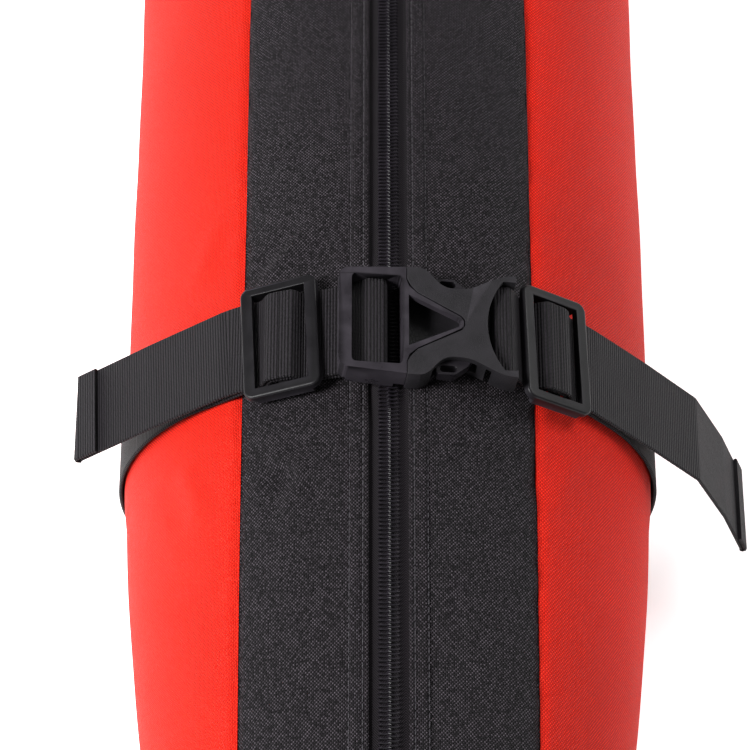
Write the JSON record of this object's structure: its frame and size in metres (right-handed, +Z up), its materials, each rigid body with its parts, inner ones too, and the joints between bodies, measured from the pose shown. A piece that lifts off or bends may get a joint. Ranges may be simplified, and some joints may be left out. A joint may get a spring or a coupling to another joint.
{
  "type": "ski bag",
  "caption": "Long padded ski bag with a full-length coil zip on its crown, red side panels, black front band and two webbing straps with side-release buckles.",
  "frame": {"origin": "middle of the flat back panel's resting face", "axes": "+Z up out of the zip, +Y along the bag from the foot end to the head end, +X to the bag's right"},
  "size_m": [0.2704, 1.813, 0.1825],
  "materials": {
    "black_polyester": "black coated oxford weave",
    "red_polyester": "red coated oxford weave",
    "foam_padding": "grey closed-cell foam",
    "webbing": "black ribbed polypropylene webbing",
    "zip_tape": "black herringbone woven tape",
    "zip_coil": "black nylon coil",
    "zip_metal": "black lacquered zinc",
    "buckle_plastic": "spark-textured black acetal",
    "glide_plastic": "satin black acetal"
  },
  "bodies": {
    "bag": {"front_panel_left": "black_polyester", "front_panel_right": "black_polyester", "side_panel_left": "red_polyester", "side_panel_right": "red_polyester", "back_panel": "black_polyester", "front_padding_left": "foam_padding", "front_padding_right": "foam_padding", "side_padding_left": "foam_padding", "side_padding_right": "foam_padding", "back_padding": "foam_padding", "zip_tape_left": "zip_tape", "zip_tape_right": "zip_tape", "zip_coil_left": "zip_coil", "zip_coil_right": "zip_coil", "zip_stop_foot": "zip_metal", "zip_stop_head": "zip_metal", "end_cap_foot": "black_polyester", "end_cap_head": "black_polyester", "grab_loop_foot": "webbing", "grab_loop_head": "webbing", "handle_tabs_left": "webbing", "handle_tabs_right": "webbing", "foot_buckle_female": "buckle_plastic", "foot_webbing_right": "webbing", "head_buckle_female": "buckle_plastic", "head_webbing_right": "webbing"},
    "foot_male_half": {"foot_buckle_male": "buckle_plastic", "foot_webbing_left": "webbing"},
    "foot_prong_inner": {"foot_prong_inner": "buckle_plastic"},
    "foot_prong_outer": {"foot_prong_outer": "buckle_plastic"},
    "foot_glide_left": {"foot_glide_left": "glide_plastic"},
    "foot_glide_right": {"foot_glide_right": "glide_plastic"},
    "head_male_half": {"head_buckle_male": "buckle_plastic", "head_webbing_left": "webbing"},
    "head_prong_inner": {"head_prong_inner": "buckle_plastic"},
    "head_prong_outer": {"head_prong_outer": "buckle_plastic"},
    "head_glide_left": {"head_glide_left": "glide_plastic"},
    "head_glide_right": {"head_glide_right": "glide_plastic"},
    "zip_slider_foot": {"zip_slider_foot": "zip_metal"},
    "zip_pull_foot": {"zip_pull_foot": "zip_metal"},
    "zip_slider_head": {"zip_slider_head": "zip_metal"},
    "zip_pull_head": {"zip_pull_head": "zip_metal"},
    "handle_left": {"handle_left": "webbing", "handle_wrap": "black_polyester"},
    "handle_right": {"handle_right": "webbing"}
  },
  "joints": [
    {"name": "foot_buckle_release", "type": "slide", "parent": "bag", "child": "foot_male_half", "axis": [-0.9926, 0, 0.1218], "range_m": [0, 0.036], "deforming": ["foot_webbing_left", "foot_prong_inner", "foot_prong_outer"]},
    {"name": "foot_prong_inner_press", "type": "hinge", "parent": "foot_male_half", "child": "foot_prong_inner", "pos_m": [0.00792, -0.5566, 0.17365], "axis": [0.1218, 0, 0.9926], "range_deg": [0, 8], "stiffness_Nm_per_rad": 0.5},
    {"name": "foot_prong_outer_press", "type": "hinge", "parent": "foot_male_half", "child": "foot_prong_outer", "pos_m": [0.00792, -0.5234, 0.17365], "axis": [-0.1218, 0, -0.9926], "range_deg": [0, 8], "stiffness_Nm_per_rad": 0.5},
    {"name": "foot_glide_left_slide", "type": "slide", "parent": "foot_male_half", "child": "foot_glide_left", "axis": [-0.9379, -0.0576, -0.3421], "range_m": [-0.0015, 0.014], "deforming": ["foot_webbing_left"]},
    {"name": "foot_glide_right_slide", "type": "slide", "parent": "bag", "child": "foot_glide_right", "axis": [0.8019, 0.0297, -0.5967], "range_m": [0, 0.014], "deforming": ["foot_webbing_right"]},
    {"name": "head_buckle_release", "type": "slide", "parent": "bag", "child": "head_male_half", "axis": [-0.9926, 0, 0.1218], "range_m": [0, 0.036], "deforming": ["head_webbing_left", "head_prong_inner", "head_prong_outer"]},
    {"name": "head_prong_inner_press", "type": "hinge", "parent": "head_male_half", "child": "head_prong_inner", "pos_m": [0.00792, 0.5234, 0.17365], "axis": [0.1218, 0, 0.9926], "range_deg": [0, 8], "stiffness_Nm_per_rad": 0.5},
    {"name": "head_prong_outer_press", "type": "hinge", "parent": "head_male_half", "child": "head_prong_outer", "pos_m": [0.00792, 0.5566, 0.17365], "axis": [-0.1218, 0, -0.9926], "range_deg": [0, 8], "stiffness_Nm_per_rad": 0.5},
    {"name": "head_glide_left_slide", "type": "slide", "parent": "head_male_half", "child": "head_glide_left", "axis": [-0.9379, -0.0576, -0.3421], "range_m": [-0.0015, 0.014], "deforming": ["head_webbing_left"]},
    {"name": "head_glide_right_slide", "type": "slide", "parent": "bag", "child": "head_glide_right", "axis": [0.8019, 0.0297, -0.5967], "range_m": [0, 0.014], "deforming": ["head_webbing_right"]},
    {"name": "zip_slider_foot_slide", "type": "slide", "parent": "bag", "child": "zip_slider_foot", "axis": [0, -1, 0], "range_m": [0, 0.46]},
    {"name": "zip_pull_foot_flip", "type": "hinge", "parent": "zip_slider_foot", "child": "zip_pull_foot", "pos_m": [0, -0.0192, 0.1734], "axis": [-1, 0, 0], "range_deg": [0, 100]},
    {"name": "zip_slider_head_slide", "type": "slide", "parent": "bag", "child": "zip_slider_head", "axis": [0, 1, 0], "range_m": [0, 0.46]},
    {"name": "zip_pull_head_flip", "type": "hinge", "parent": "zip_slider_head", "child": "zip_pull_head", "pos_m": [0, 0.0192, 0.1734], "axis": [1, 0, 0], "range_deg": [0, 100]},
    {"name": "handle_left_lift", "type": "hinge", "parent": "bag", "child": "handle_left", "pos_m": [-0.05996, 0, 0.15563], "axis": [0, 1, 0], "range_deg": [0, 165]},
    {"name": "handle_right_lift", "type": "hinge", "parent": "bag", "child": "handle_right", "pos_m": [0.05996, 0, 0.15563], "axis": [0, -1, 0], "range_deg": [0, 165]}
  ]
}
